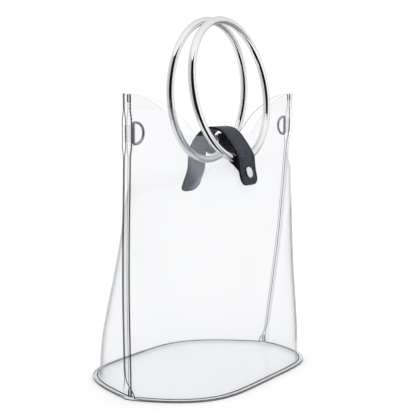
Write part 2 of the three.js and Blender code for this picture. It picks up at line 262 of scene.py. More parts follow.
def clear_vinyl(name, clarity=0.976, glance=12.0, painted_reflections=()):
    """Clear soft sheet: a faint haze, more of it where reflections are painted on, darker aslant, with a
    rippled skin.
    """
    material, nodes, place = start_material(name)
    facing = nodes.add("ShaderNodeLayerWeight", {}, {"Blend": 0.5}, "Facing")
    ripple = nodes.add("ShaderNodeTexNoise", {}, {"Vector": place, "Scale": 14.0, "Detail": 1.0})
    bump = nodes.add("ShaderNodeBump", {}, {"Strength": 0.05, "Distance": 0.002, "Height": ripple})
    skin = nodes.add("ShaderNodeBsdfPrincipled", {}, {
        "Base Color": (0.97, 0.98, 1, 1), "Metallic": 1.0, "Roughness": 0.03 + ripple * 0.03, "Normal": bump,
    })
    haze = nodes.add("ShaderNodeBsdfPrincipled", {}, {
        "Base Color": (0.84, 0.89, 1, 1), "Roughness": 0.6, "Specular IOR Level": 0.0,
    })
    through = nodes.add("ShaderNodeBsdfTransparent", {}, {"Color": (clarity, clarity, clarity, 1)})
    aslant = nodes.add("ShaderNodeBsdfTransparent", {}, {"Color": (0.04, 0.045, 0.06, 1)})
    body = nodes.add("ShaderNodeMixShader", {}, {0: facing ** glance, 1: through, 2: aslant})
    share = 0.02 + ripple * 0.01
    # painted reflections: extra haze laid on the given places, standing for a reflection or highlight on the
    # wall
    for x_span, z_span, amount in painted_reflections:
        inside = amount
        for axis, span in (("X", x_span), ("Z", z_span)):
            along = nodes.add("ShaderNodeSeparateXYZ", {}, {"Vector": place}, axis)
            for outer, inner in (span[:2], span[:1:-1]):
                inside = inside * nodes.add("ShaderNodeMapRange", {"interpolation_type": "SMOOTHSTEP"}, {
                    "Value": along, "From Min": outer * MM, "From Max": inner * MM,
                })
        share = share + inside
    hazy = nodes.add("ShaderNodeMixShader", {}, {0: share, 1: body, 2: haze})
    gloss = 0.003 + 0.6 * facing ** 9.0
    end_material(nodes, nodes.add("ShaderNodeMixShader", {}, {0: gloss, 1: hazy, 2: skin}))
    return material


def cut_vinyl_edge(name, density):
    """Cut edge of the sheet, which carries the light along it and so looks slate."""
    material, nodes, place = start_material(name)
    streaks = nodes.add("ShaderNodeTexNoise", {}, {"Vector": place, "Scale": 60.0, "Detail": 3.0})
    colour = nodes.blend_colours(streaks, (0.014, 0.017, 0.026, 1), (0.08, 0.09, 0.12, 1))
    slate = nodes.add("ShaderNodeBsdfPrincipled", {}, {
        "Base Color": colour, "Roughness": 0.4, "Specular IOR Level": 0.2,
    })
    through = nodes.add("ShaderNodeBsdfTransparent", {}, {"Color": (0.86, 0.88, 0.92, 1)})
    end_material(nodes, nodes.add("ShaderNodeMixShader", {}, {0: density, 1: through, 2: slate}))
    return material


def add_piece(name, points, faces, materials, body, stands_for=(), material_of=None, sharp=40):
    """Mesh piece in the shared frame that moves with a body and may stand for plain nodes of the frame."""
    mesh = bpy.data.meshes.new(name)
    mesh.from_pydata((np.asarray(points) * MM).tolist(), [], [[int(k) for k in face] for face in faces])
    for material in materials:
        mesh.materials.append(material)
    if material_of is not None:
        mesh.polygons.foreach_set("material_index", np.asarray(material_of, np.int32))
    mesh.shade_smooth()
    mesh.set_sharp_from_angle(angle=math.radians(sharp))
    piece = bpy.data.objects.new(name, mesh)
    bpy.context.scene.collection.objects.link(piece)
    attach(piece, body)
    if stands_for:
        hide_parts(*stands_for)
    return piece


def on_far_side(points, faces):
    """Marks the faces whose outer side looks to the far right of the bag."""
    corners = points[faces]
    normals = np.cross(corners[:, 2] - corners[:, 0], corners[:, 3] - corners[:, 1])[:, :2]
    outward = np.sign(np.sum(normals * corners.mean(axis=1)[:, :2], axis=1))
    return (normals @ FAR_SIDE) * outward > 0


ACROSS = np.sin(np.pi * (np.arange(WALL_COLUMNS + 1) / WALL_COLUMNS - 0.5))


def flange_directions(side):
    """Level directions in which a wall's bottom flange turns out, splayed at its corners to meet the fins."""
    foot = wall_points(side, ACROSS, FLANGE_HEIGHT)
    outward = outward_at_flange(side, ACROSS)
    run = np.concatenate([[0], np.cumsum(np.linalg.norm(np.diff(foot, axis=0), axis=1))])
    near_corner = 1 - fade_between(np.minimum(run, run[-1] - run), 0, CORNER_TURN)
    ends = np.sign(ACROSS)
    splay_depth = np.full(len(ends), side * math.sin(FIN_SPLAY))
    splayed = np.stack([ends * math.cos(FIN_SPLAY), splay_depth, 0 * ends], axis=-1)
    outward = outward + (splayed - outward) * near_corner[:, None]
    return outward / np.linalg.norm(outward, axis=1, keepdims=True)


def wall_sheet(side):
    """Middle surface of one panel: its wall, its two fins and its bottom flange."""
    columns = len(ACROSS)
    top = np.full(columns, WALL_LEVELS[-1, 0])
    for _ in range(4):
        top = top_edge_at(np.abs(ACROSS) * half_width_at(top))
    rise = np.linspace(0, 1, WALL_ROWS + 1)[:, None]
    heights = FLANGE_HEIGHT + (top - FLANGE_HEIGHT) * rise
    wall = wall_points(side, np.broadcast_to(ACROSS, heights.shape), heights)
    inset = (1 - ACROSS ** 2) * np.sin(np.pi * rise) ** 2
    away_from_strap = fade_between(np.abs(wall[..., 0]), *SLACK_CLEAR_OF_STRAP)
    x, z = wall[..., 0], wall[..., 2]
    slack = np.sin(x / SLACK_WAVES[0] + z / SLACK_WAVES[1] + side)
    slack *= np.sin(z / SLACK_WAVES[2] - x / SLACK_WAVES[3])
    wall[..., 1] += SLACK_DEPTH * slack * inset * away_from_strap
    points = wall.reshape(-1, 3)
    faces = [grid_faces(columns, WALL_ROWS + 1)]

    at, outward, width = [], [], []
    for end, column, rows in ((-1, 0, range(WALL_ROWS, 0, -1)), (1, columns - 1, range(1, WALL_ROWS + 1))):
        fin_at = np.array([j * columns + column for j in rows])
        height = points[fin_at, 2]
        turn = FIN_SPLAY * (1 - fade_between(height, FLANGE_HEIGHT, FIN_SPLAY_HEIGHT)) ** 2
        at.append(fin_at)
        outward.append(np.stack([end * np.cos(turn), side * np.sin(turn), 0 * turn], axis=-1))
        full = fade_between(height, FLANGE_HEIGHT, FIN_FULL_HEIGHT)
        width.append(FLANGE_WIDTH + (FIN_WIDTH - FLANGE_WIDTH) * full)
    at.insert(1, np.arange(columns))
    outward.insert(1, flange_directions(side))
    width.insert(1, np.full(columns, float(FLANGE_WIDTH)))
    at, outward, width = (np.concatenate(part) for part in (at, outward, width))
    rim = [points]
    for k in range(1, RIM_STRIPS + 1):
        rim.append(points[at] + outward * (width * k / RIM_STRIPS)[:, None])
        start = len(points) + (k - 1) * len(at)
        inner = at if k == 1 else start - len(at) + np.arange(len(at))
        outer = start + np.arange(len(at))
        faces.append(np.stack([inner[1:], inner[:-1], outer[:-1], outer[1:]], axis=-1))
    return np.concatenate(rim), np.concatenate(faces)


vinyl_edge = cut_vinyl_edge("cut_vinyl_edge", 0.95)
vinyl_faint_edge = cut_vinyl_edge("faint_vinyl_edge", 0.1)
vinyl_clear_edge = cut_vinyl_edge("clear_vinyl_edge", 0.6)
edge_materials = [vinyl_edge, vinyl_faint_edge, vinyl_clear_edge]
for wall_name, side in (("front", -1), ("back", 1)):
    wall_vinyl = clear_vinyl(f"{wall_name}_vinyl", painted_reflections=PAINTED_REFLECTION_PLACES[wall_name])
    sheet_points, sheet_faces = wall_sheet(side)
    solid_points, solid_faces, on_edge = thicken(sheet_points, sheet_faces, VINYL)
    middles = solid_points[solid_faces].mean(axis=1)
    cut = on_edge == CUT_EDGE
    on_right = middles[:, 0] > 0
    at_top = cut & (middles[:, 2] > TOP_EDGE[0, 1] - TOP_EDGE_DROP)
    at_top &= np.abs(middles[:, 0]) < WALL_LEVELS[-1, 1]
    far_foot = cut & (middles[:, 2] < FLANGE_HEIGHT + VINYL) & on_far_side(solid_points, solid_faces)
    on_edge[far_foot] = np.where(middles[far_foot, 0] > FAINT_FROM, FAINT_EDGE, CLEAR_EDGE)
    on_edge[at_top] = FAINT_EDGE
    on_edge[at_top & on_right & (side > 0)] = CLEAR_EDGE
    on_edge[(on_edge == CUT_EDGE) & on_right & (middles[:, 2] > PALE_FIN_FROM)] = FAINT_EDGE
    wall = add_piece(
        f"{wall_name}_wall", solid_points, solid_faces, [wall_vinyl] + edge_materials, "bag",
        [f"{wall_name}_panel"], on_edge,
    )

# Base: one flat piece of the same clear vinyl, cut to the outline of both flanges.
# It lies under them and is sewn to them all round, so that its cut edge makes the lower line of the rim.
BASE_MIDDLE = 0.65
BASE_RINGS = (0.0, 0.02, 0.05, 0.12, 0.25, 0.42, 0.6, 0.78, 0.92)


def base_outline(distance):
    """Closed line round the bag's foot, at a distance outside the walls."""
    sides = []
    for side in (-1, 1):
        across = ACROSS if side < 0 else ACROSS[::-1]
        foot = wall_points(side, across, FLANGE_HEIGHT)
        outward = outward_at_flange(side, across)
        outward[[0, -1]] = [[np.sign(across[0]), 0, 0], [np.sign(across[-1]), 0, 0]]
        sides.append(foot + outward * distance)
    return np.concatenate(sides)


rim_line = base_outline(FLANGE_WIDTH)
base_rings = [rim_line * (1 - share) for share in BASE_RINGS]
base_points = np.concatenate(base_rings)
base_points[:, 2] = BASE_MIDDLE
ring_size = len(rim_line)
base_faces = []
for ring in range(len(BASE_RINGS) - 1):
    here = ring * ring_size + np.arange(ring_size)
    after = np.roll(here, -1)
    base_faces.append(np.stack([here, after, after + ring_size, here + ring_size], axis=-1))
base_faces = np.concatenate(base_faces)
middle_ring = (len(BASE_RINGS) - 1) * ring_size
half_ring = ring_size // 2
left_to_right = middle_ring + np.arange(half_ring)
back_again = middle_ring + ring_size - 1 - np.arange(half_ring)
middle_faces = np.stack([left_to_right[:-1], left_to_right[1:], back_again[1:], back_again[:-1]], axis=-1)
base_faces = np.concatenate([base_faces, middle_faces])
solid_points, solid_faces, on_edge = thicken(base_points, base_faces, VINYL)
middles = solid_points[solid_faces].mean(axis=1)
far = (on_edge == CUT_EDGE) & on_far_side(solid_points, solid_faces)
on_edge[far] = np.where(middles[far, 0] > FAINT_FROM, FAINT_EDGE, CLEAR_EDGE)
base_vinyl = clear_vinyl("base_vinyl", 0.986, 40.0)
base_sheet = add_piece(
    "base_sheet", solid_points, solid_faces, [base_vinyl] + edge_materials,
    "bag", ["base_panel"], on_edge,
)

# Seams: lockstitch in grey-black thread along both side fins and round the flange of the base.
# The ends of the side seams are locked by bar tacks, stitches laid close together over the seam.
BASE_THREAD = 0.95
SEAM_THREADS = {"left": 1.3, "right": 0.75}
UNDER_THREAD = 0.45
STITCH_LENGTH = 2.5
STITCH_PITCH = 2.7
BASE_STITCH_LENGTH = 2.1
SEAM_INSET = 2.1
TACK_LENGTH = 6.5
TACK_PITCH = 0.5
TACK_STITCHES = 3
TACK_THREAD = 0.7
TACK_HEIGHTS = (253.6, 5.6)
SEAM_SPAN = (4, 255)
THREAD_SEAT = 0.1
TACK_SEAT = 0.2
THREAD_SIDES = 7


def sewing_thread():
    """Spun polyester thread, two strands twisted, grey-black with paler fibres and painted shade in the
    grooves of the twist.
    """
    material, nodes, place = start_material("sewing_thread")
    fibres = nodes.add("ShaderNodeTexNoise", {}, {"Vector": place, "Scale": 900.0, "Detail": 3.0})
    twist = nodes.add("ShaderNodeTexWave", {"bands_direction": "DIAGONAL"}, {
        "Vector": place, "Scale": 420.0, "Distortion": 1.5,
    }, 1)
    # paler fibres, and painted shade where the twist sinks between the strands
    colour = nodes.blend_colours(fibres * twist, (0.008, 0.008, 0.01, 1), (0.05, 0.046, 0.05, 1))
    bump = nodes.add("ShaderNodeBump", {}, {"Strength": 0.6, "Distance": 0.0002, "Height": twist})
    end_material(nodes, nodes.add("ShaderNodeBsdfPrincipled", {}, {
        "Base Color": colour, "Roughness": 0.75, "Specular IOR Level": 0.2, "Normal": bump,
    }))
    return material


def along_line(line, places):
    """Points at given distances along a line of points, and the whole length of the line."""
    run = np.concatenate([[0], np.cumsum(np.linalg.norm(np.diff(line, axis=0), axis=1))])
    return np.stack([np.interp(places, run, line[:, k]) for k in range(3)], axis=-1), run[-1]


def stitches(starts, ends, outward, thread):
    """One plump stitch from each start to its end, sunk at both ends into the sheet that it holds."""
    lift = np.array([-0.5, 0, 0.2, 0.2, 0, -0.5]) * thread / 2
    girth = np.array([0.65, 0.95, 1, 1, 0.95, 0.65]) * thread / 2
    share = np.array([0, 0.1, 0.36, 0.64, 0.9, 1])
    along = (ends - starts) / np.linalg.norm(ends - starts, axis=1, keepdims=True)
    beside = np.cross(along, outward)
    rings = starts[:, None] + (ends - starts)[:, None] * share[:, None] + outward[:, None] * lift[:, None]
    angle = 2 * np.pi * np.arange(THREAD_SIDES) / THREAD_SIDES
    spokes = beside[:, None] * np.cos(angle)[:, None] + outward[:, None] * np.sin(angle)[:, None]
    points = rings[:, :, None] + spokes[:, None] * girth[:, None, None]
    each = len(share) * THREAD_SIDES
    k = np.arange(each).reshape(len(share), THREAD_SIDES)
    after = np.roll(k, -1, axis=1)
    one = np.stack([k[:-1], after[:-1], after[1:], k[1:]], axis=-1).reshape(-1, 4).tolist()
    one += [k[0][::-1].tolist(), k[-1].tolist()]
    faces = [[corner + n * each for corner in face] for n in range(len(starts)) for face in one]
    return points.reshape(-1, 3), faces


def run_of_stitches(line, outward, thread, length):
    """Stitches laid end to end along a line; outward is the side of the sheet that they lie on."""
    total = along_line(line, [0])[1]
    count = int(total // STITCH_PITCH)
    first = (np.arange(count) + 0.5) * total / count - length / 2
    starts = along_line(line, first)[0]
    ends = along_line(line, first + length)[0]
    return stitches(starts, ends, np.broadcast_to(outward, starts.shape), thread)


def bar_tack(centre, outward):
    """Upright stitches laid side by side over the end of a seam."""
    row = (np.arange(TACK_STITCHES) - (TACK_STITCHES - 1) / 2)[:, None] * TACK_PITCH
    spots = centre + row * np.array([1, 0, 0])
    reach = np.array([0, 0, 1]) * TACK_LENGTH / 2
    return stitches(spots - reach, spots + reach, np.broadcast_to(outward, spots.shape), TACK_THREAD)


def join_meshes(parts):
    """Points and faces of several meshes as one."""
    points, faces, first = [], [], 0
    for part_points, part_faces in parts:
        points.append(part_points)
        faces += [[k + first for k in face] for face in part_faces]
        first += len(part_points)
    return np.concatenate(points), faces


thread_material = sewing_thread()
for seam_name, end in (("left", -1), ("right", 1)):
    sewn = []
    seam_heights = np.linspace(*SEAM_SPAN, 120)
    for side in (-1, 1):
        facing_out = np.array([0.0, side, 0.0])
        seam_line = wall_points(side, np.full(len(seam_heights), float(end)), seam_heights)
        seam_line[:, 0] += end * SEAM_INSET
        seam_line[:, 1] += side * (VINYL / 2 + THREAD_SEAT)
        thread = SEAM_THREADS[seam_name] if side < 0 else UNDER_THREAD
        sewn.append(run_of_stitches(seam_line, facing_out, thread, STITCH_LENGTH))
        for height in TACK_HEIGHTS:
            spot = wall_points(side, float(end), height)
            spot = spot + [end * SEAM_INSET, side * (VINYL / 2 + TACK_SEAT), 0]
            sewn.append(bar_tack(spot, facing_out))
    sewn_points, sewn_faces = join_meshes(sewn)
    add_piece(f"{seam_name}_seam_thread", sewn_points, sewn_faces, [thread_material], "bag")

base_seam = base_outline(SEAM_INSET)
base_seam[:, 2] = FLANGE_HEIGHT + VINYL / 2 + THREAD_SEAT
base_seam = np.concatenate([base_seam, base_seam[:1]])
facing_up = np.array([0.0, 0.0, 1.0])
sewn_points, sewn_faces = run_of_stitches(base_seam, facing_up, BASE_THREAD, BASE_STITCH_LENGTH)
add_piece("base_seam_thread", sewn_points, sewn_faces, [thread_material], "bag")

# Shoulder strap fittings: a wire D-ring inside each side seam, for a strap that clips on.
# A strip of clear vinyl is folded round the straight bar of each ring and sewn between the two fins.
D_WIRE = 2.4
D_HEIGHT = 17.4
D_DEPTH = 13.8
D_CORNER = 2.2
D_BULGE = 1.27
D_BAR = 128.4
TAB_END = 139
TAB_STRIP = 0.5
TAB_SLACK = 0.3
TAIL_GAP = 0.06
FOLD_STEPS = 40
CORNER_STEPS = 8
BOW_STEPS = 40
WIRE_SIDES = 16


def nickel_wire():
    """Plated wire, darker than the ring handles, with a dull patina between bright strokes."""
    material, nodes, place = start_material("nickel_wire")
    patina = nodes.add("ShaderNodeTexNoise", {}, {"Vector": place, "Scale": 260.0, "Detail": 4.0})
    colour = nodes.blend_colours(patina, (0.2, 0.2, 0.22, 1), (0.46, 0.46, 0.48, 1))
    end_material(nodes, nodes.add("ShaderNodeBsdfPrincipled", {}, {
        "Base Color": colour, "Metallic": 1.0, "Roughness": 0.12 + patina * 0.18,
    }))
    return material


def bezier(points, steps):
    """Points along a Bezier curve of any order, without its last one."""
    t = np.linspace(0, 1, steps, endpoint=False)[:, None]
    order = len(points) - 1
    weights = [math.comb(order, k) * t ** k * (1 - t) ** (order - k) for k in range(order + 1)]
    return sum(weight * np.array(point, float) for weight, point in zip(weights, points))


def wire_loop(outline, diameter, sides):
    """Closed round wire along a flat outline in the X-Z plane."""
    along = np.roll(outline, -1, axis=0) - np.roll(outline, 1, axis=0)
    along /= np.linalg.norm(along, axis=1, keepdims=True)
    outward = np.stack([along[:, 1], -along[:, 0]], axis=-1)
    angle = 2 * np.pi * np.arange(sides) / sides
    out = np.cos(angle) * diameter / 2
    x = outline[:, :1] + outward[:, :1] * out
    z = outline[:, 1:] + outward[:, 1:] * out
    y = np.broadcast_to(np.sin(angle) * diameter / 2, x.shape)
    k = np.arange(len(outline) * sides).reshape(len(outline), sides)
    beside, after = np.roll(k, -1, axis=1), np.roll(k, -1, axis=0)
    faces = np.stack([k, beside, np.roll(after, -1, axis=1), after], axis=-1).reshape(-1, 4)
    return np.stack([x, y, z], axis=-1).reshape(-1, 3), faces


half_d = D_HEIGHT / 2
bow_pull = D_DEPTH * D_BULGE
d_outline = np.concatenate([
    bezier([(0, half_d - D_CORNER), (0, D_CORNER - half_d)], CORNER_STEPS),
    bezier([(0, D_CORNER - half_d), (0, -half_d), (D_CORNER, -half_d)], CORNER_STEPS),
    bezier([(D_CORNER, -half_d), (bow_pull, -half_d), (bow_pull, half_d), (D_CORNER, half_d)], BOW_STEPS),
    bezier([(D_CORNER, half_d), (0, half_d), (0, half_d - D_CORNER)], CORNER_STEPS),
])
d_points, d_faces = wire_loop(d_outline, D_WIRE, WIRE_SIDES)

fold_radius = D_WIRE / 2 + TAB_SLACK + TAB_STRIP
tail_half = TAB_STRIP + TAIL_GAP
meet = math.asin(tail_half / fold_radius)
fold = np.linspace(math.pi - meet, meet - math.pi, FOLD_STEPS)
loop_outer = np.stack([np.cos(fold), np.sin(fold)], axis=-1) * fold_radius
loop_inner = np.stack([np.cos(fold), np.sin(fold)], axis=-1) * (fold_radius - TAB_STRIP)
loop_inner[[0, -1], 1] = [tail_half - TAB_STRIP, TAB_STRIP - tail_half]
loop_inner[[0, -1], 0] = loop_outer[0, 0]
tail_x = D_BAR - TAB_END
strip_outer = np.concatenate([[(tail_x, tail_half)], loop_outer, [(tail_x, -tail_half)]])
strip_inner = np.concatenate([
    [(tail_x, tail_half - TAB_STRIP)], loop_inner, [(tail_x, TAB_STRIP - tail_half)],
])
strip_steps = len(strip_outer)
widths = np.linspace(-TAB_WIDTH / 2, TAB_WIDTH / 2, 7)
tab_points = np.concatenate([
    np.stack([line[:, 0], line[:, 1], np.full(strip_steps, width)], axis=-1)
    for line in (strip_outer, strip_inner) for width in widths
])
inner_first = strip_steps * len(widths)
outer_faces = grid_faces(strip_steps, len(widths))
inner_faces = grid_faces(strip_steps, len(widths), inner_first)[:, ::-1]
tab_edges = []
for row in (0, len(widths) - 1):
    a = row * strip_steps + np.arange(strip_steps - 1)
    quad = np.stack([a, a + 1, a + 1 + inner_first, a + inner_first], axis=-1)
    tab_edges.append(quad[:, ::-1] if row == 0 else quad)
for column in (0, strip_steps - 1):
    a = np.arange(len(widths) - 1) * strip_steps + column
    quad = np.stack([a, a + strip_steps, a + strip_steps + inner_first, a + inner_first], axis=-1)
    tab_edges.append(quad if column == 0 else quad[:, ::-1])
tab_edges = np.concatenate(tab_edges)
tab_faces = np.concatenate([outer_faces, inner_faces, tab_edges])
tab_on_edge = np.repeat([0, CUT_EDGE], [len(outer_faces) + len(inner_faces), len(tab_edges)])

wire_material = nickel_wire()
tab_vinyl = clear_vinyl("clear_vinyl")
for seam_name, end in (("left", -1), ("right", 1)):
    turn = np.array([-end, -end, 1.0])
    spot = np.array([end * D_BAR, float(seam_depth_at(TAB_HEIGHT)), TAB_HEIGHT])
    add_piece(
        f"{seam_name}_strap_ring", d_points * turn + spot, d_faces, [wire_material], "bag",
        [f"d_ring_{seam_name}"],
    )
    add_piece(
        f"{seam_name}_ring_tab", tab_points * turn + spot, tab_faces, [tab_vinyl, vinyl_edge],
        "bag", [f"d_tab_{seam_name}"], tab_on_edge,
    )

# Closure strap and its layers: bluish-black pebbled leather with painted edges.
# The strap is sewn on outside the back wall, arches over the top through both ring handles, and snaps shut on
# a leather tab outside the front wall. A leather patch lies at the top of the back wall, under the arch.
WALL_SHEET = 1.2
LAYER_GAP = 0.4
STRAP_WIDTH = 28
STRAP_THICKNESS = 2
LAYER_THICKNESS = 1.6
SIDEWAYS = np.array([1.0, 0, 0])
EDGE_ROUND = 0.55
END_CORNER = 8
# depth and height of points on the strap's middle line, from the back of the bag over the top to the front
STRAP_ARCH = np.array([
    (5.8, 178), (2.8, 185), (1.7, 190), (1.1, 197), (0.8, 201.5), (-0.2, 206), (-2.8, 212), (-5.8, 216.6),
    (-9.5, 220.7), (-13.2, 223.9), (-17.4, 226.1), (-22.5, 226.9), (-29.6, 225.8), (-36, 221.9),
    (-41.8, 215.4), (-45.9, 210), (-49.4, 204.9), (-51.7, 199.7), (-52.2, 194), (-52.8, 189.5),
])
BACK_END = (166.6, 172)
FRONT_END = (175.2, 183)
FRONT_TAB = (175.7, 222)
FRONT_TAB_WIDTHS = (17, 32)
FRONT_TAB_WIDENS = (20, 34)
BACK_PATCH = (202.5, 219.5)
BACK_PATCH_WIDTH = 20
LAYER_DISTANCE = WALL_SHEET / 2 + LAYER_GAP + LAYER_THICKNESS / 2
BACK_STRAP_DISTANCE = WALL_SHEET / 2 + LAYER_GAP + STRAP_THICKNESS / 2
FRONT_STRAP_DISTANCE = BACK_STRAP_DISTANCE + LAYER_THICKNESS + LAYER_GAP
LEATHER_STITCH_INSET = 2.6
LEATHER_STITCH_LENGTH = 2.3
LEATHER_STITCH_PITCH = 3.0
LEATHER_THREAD = 0.6
LEATHER_SEAT = 0.05
STRAP_SEWN = (160, 186)
PATCH_SEWN = (200, 219)
CREASE_INSET = 2.6
CREASE_HALF = 0.7
CREASE_DEPTH = 0.5


def pebbled_leather():
    """Bluish-black leather: rounded grains with creases between them, painted shade in the creases, and a
    soft sheen on the grain.
    """
    material, nodes, place = start_material("pebbled_leather")
    grains = nodes.add("ShaderNodeTexVoronoi", {"feature": "SMOOTH_F1"}, {"Vector": place, "Scale": 640.0})
    pores = nodes.add("ShaderNodeTexNoise", {}, {"Vector": place, "Scale": 2400.0, "Detail": 3.0})
    patches = nodes.add("ShaderNodeTexNoise", {}, {"Vector": place, "Scale": 70.0, "Detail": 3.0})
    specks = nodes.add("ShaderNodeTexNoise", {}, {"Vector": place, "Scale": 620.0, "Detail": 3.0})
    relief = 1 - grains + pores * 0.25
    bump = nodes.add("ShaderNodeBump", {}, {"Strength": 0.9, "Distance": 0.0007, "Height": relief})
    tone = nodes.blend_colours(patches, (0.02, 0.026, 0.05, 1), (0.05, 0.064, 0.115, 1))
    light = nodes.add("ShaderNodeMapRange", {}, {"Value": specks, "From Min": 0.4, "From Max": 0.62})
    colour = nodes.blend_colours(light, (0.005, 0.006, 0.01, 1), tone)
    # painted shade: the colour darkens in the creases between the grains
    colour = nodes.blend_colours(grains * 0.6, colour, (0.004, 0.004, 0.006, 1))
    end_material(nodes, nodes.add("ShaderNodeBsdfPrincipled", {}, {
        "Base Color": colour, "Roughness": 0.42 + patches * 0.2, "Normal": bump,
        "Specular IOR Level": 0.32, "Specular Tint": (0.8, 0.87, 1.0, 1),
        "Sheen Weight": 0.05, "Sheen Roughness": 0.4, "Sheen Tint": (0.7, 0.78, 1.0, 1),
    }))
    return material


def painted_edge():
    """Edge paint on the cut sides of the leather, smooth and black."""
    material, nodes, place = start_material("painted_leather_edge")
    strokes = nodes.add("ShaderNodeTexNoise", {}, {"Vector": place, "Scale": 300.0, "Detail": 2.0})
    colour = nodes.blend_colours(strokes, (0.004, 0.004, 0.005, 1), (0.012, 0.012, 0.015, 1))
    end_material(nodes, nodes.add("ShaderNodeBsdfPrincipled", {}, {
        "Base Color": colour, "Roughness": 0.5 + strokes * 0.2, "Specular IOR Level": 0.12,
    }))
    return material


def off_wall(side, height, distance):
    """Points on the middle line of a wall, moved out from it by a distance."""
    height = np.asarray(height, float)
    step = 0.5
    slope = wall_points(side, 0, height + step) - wall_points(side, 0, height - step)
    normal = side * np.stack([0 * height, slope[..., 2], -slope[..., 1]], axis=-1)
    normal /= np.linalg.norm(normal, axis=-1, keepdims=True)
    return wall_points(side, 0, height) + normal * distance


def smooth_path(points, spacing=0.8):
    """Evenly spaced points on a smooth line through points that share one x."""
    chord = np.concatenate([[0], np.cumsum(np.linalg.norm(np.diff(points, axis=0), axis=1))])
    fine = np.linspace(0, chord[-1], 600)
    line = np.stack([curve_through(chord, points[:, k])(fine) for k in range(3)], axis=-1)
    length = along_line(line, [0])[1]
    return along_line(line, np.linspace(0, length, int(length / spacing) + 1))[0], length


def band_outward(line):
    """Direction square to a band's face at each point of its middle line."""
    along = np.gradient(line, axis=0)
    along /= np.linalg.norm(along, axis=1, keepdims=True)
    return np.cross(SIDEWAYS, along)


def band_half_width(run, length, width, inset, round_end):
    """Half the width along a band, inset from its outline, with round corners at its start or both ends."""
    half = width / 2 - inset + 0 * run
    radius = END_CORNER - inset
    for gone in (run, length - run) if round_end else (run,):
        left = np.clip(1 - (gone - inset) / radius, 0, 1)
        half = np.minimum(half, width / 2 - END_CORNER + radius * np.sqrt(1 - left ** 2))
    return half


def leather_band(points, width, thickness, round_end):
    """Leather band along a path, with painted edges and a pressed crease, and round corners at its start."""
    line, length = smooth_path(points)
    run = np.linspace(0, length, len(line))
    outward = band_outward(line)
    half = band_half_width(run, length, width(run), 0, round_end)
    turn = np.linspace(0, math.pi / 2, 4)
    corner = np.stack([EDGE_ROUND * np.sin(turn), EDGE_ROUND * np.cos(turn)], axis=-1)
    beside_crease = np.array([CREASE_HALF, 0, -CREASE_HALF]) - CREASE_INSET
    sections = []
    for w, gone in zip(half, run):
        flat_half = w - EDGE_ROUND
        flats = np.linspace(-1, 1, 11) * (w - CREASE_INSET - 2 * CREASE_HALF)
        flats = np.concatenate([-w - beside_crease, flats, w + beside_crease[::-1]])
        from_outline = np.minimum(w - np.abs(flats), gone)
        if round_end:
            from_outline = np.minimum(from_outline, length - gone)
        pressed = CREASE_DEPTH * np.clip(1 - np.abs(from_outline - CREASE_INSET) / CREASE_HALF, 0, 1)
        top = [(-flat_half - x, thickness / 2 - EDGE_ROUND + z) for x, z in corner[::-1]]
        top += list(zip(flats, thickness / 2 - pressed))
        top += [(flat_half + x, thickness / 2 - EDGE_ROUND + z) for x, z in corner]
        sections.append(top + [(x, -z) for x, z in top[::-1]])
    sections = np.array(sections)
    count = sections.shape[1]
    points = line[:, None] + sections[..., :1] * SIDEWAYS + sections[..., 1:] * outward[:, None]
    k = np.arange(len(line) * count).reshape(len(line), count)
    after = np.roll(k, -1, axis=1)
    faces = np.stack([k[:-1], k[1:], after[1:], after[:-1]], axis=-1).reshape(-1, 4).tolist()
    edge_part = len(corner) - 1
    in_half = np.arange(count) % (count // 2)
    on_edge = (in_half < edge_part) | (in_half >= count // 2 - 1 - edge_part)
    painted = np.tile(on_edge.astype(int), len(line) - 1).tolist() + [1, 1]
    faces += [k[0].tolist(), k[-1][::-1].tolist()]
    return points.reshape(-1, 3), faces, painted


def leather_stitches(points, width, thickness, sewn, round_end):
    """Stitches that follow the start of a band, on the face towards the wall, between two heights."""
    line, length = smooth_path(points)
    run = np.linspace(0, length, len(line))
    half = band_half_width(run, length, width(run), LEATHER_STITCH_INSET, round_end)
    low, high = sewn
    wanted = (run >= LEATHER_STITCH_INSET) & (length - run >= LEATHER_STITCH_INSET * round_end)
    wanted &= np.logical_and.accumulate(line[:, 2] <= high) & (line[:, 2] >= low)
    inward = -band_outward(line)[wanted]
    seat = line[wanted] + inward * (thickness / 2 + LEATHER_SEAT)
    reach = half[wanted][:, None] * SIDEWAYS
    loop = np.concatenate([(seat - reach)[::-1], seat + reach])
    normals = np.concatenate([inward[::-1], inward])
    total = along_line(loop, [0])[1]
    count = int(total // LEATHER_STITCH_PITCH)
    middle = (np.arange(count) + 0.5) * total / count
    starts = along_line(loop, middle - LEATHER_STITCH_LENGTH / 2)[0]
    ends = along_line(loop, middle + LEATHER_STITCH_LENGTH / 2)[0]
    run = np.concatenate([[0], np.cumsum(np.linalg.norm(np.diff(loop, axis=0), axis=1))])
    facing = np.stack([np.interp(middle, run, normals[:, k]) for k in range(3)], axis=-1)
    facing /= np.linalg.norm(facing, axis=1, keepdims=True)
    return stitches(starts, ends, facing, LEATHER_THREAD)


def strap_width(run):
    """The strap is equally wide all along."""
    return STRAP_WIDTH + 0 * run


def patch_width(run):
    """The patch is equally wide all along."""
    return BACK_PATCH_WIDTH + 0 * run


def tab_width(run):
    """The front tab is narrow behind the snap and wider than the strap at the top."""
    return FRONT_TAB_WIDTHS[0] + np.ptp(FRONT_TAB_WIDTHS) * fade_between(run, *FRONT_TAB_WIDENS)


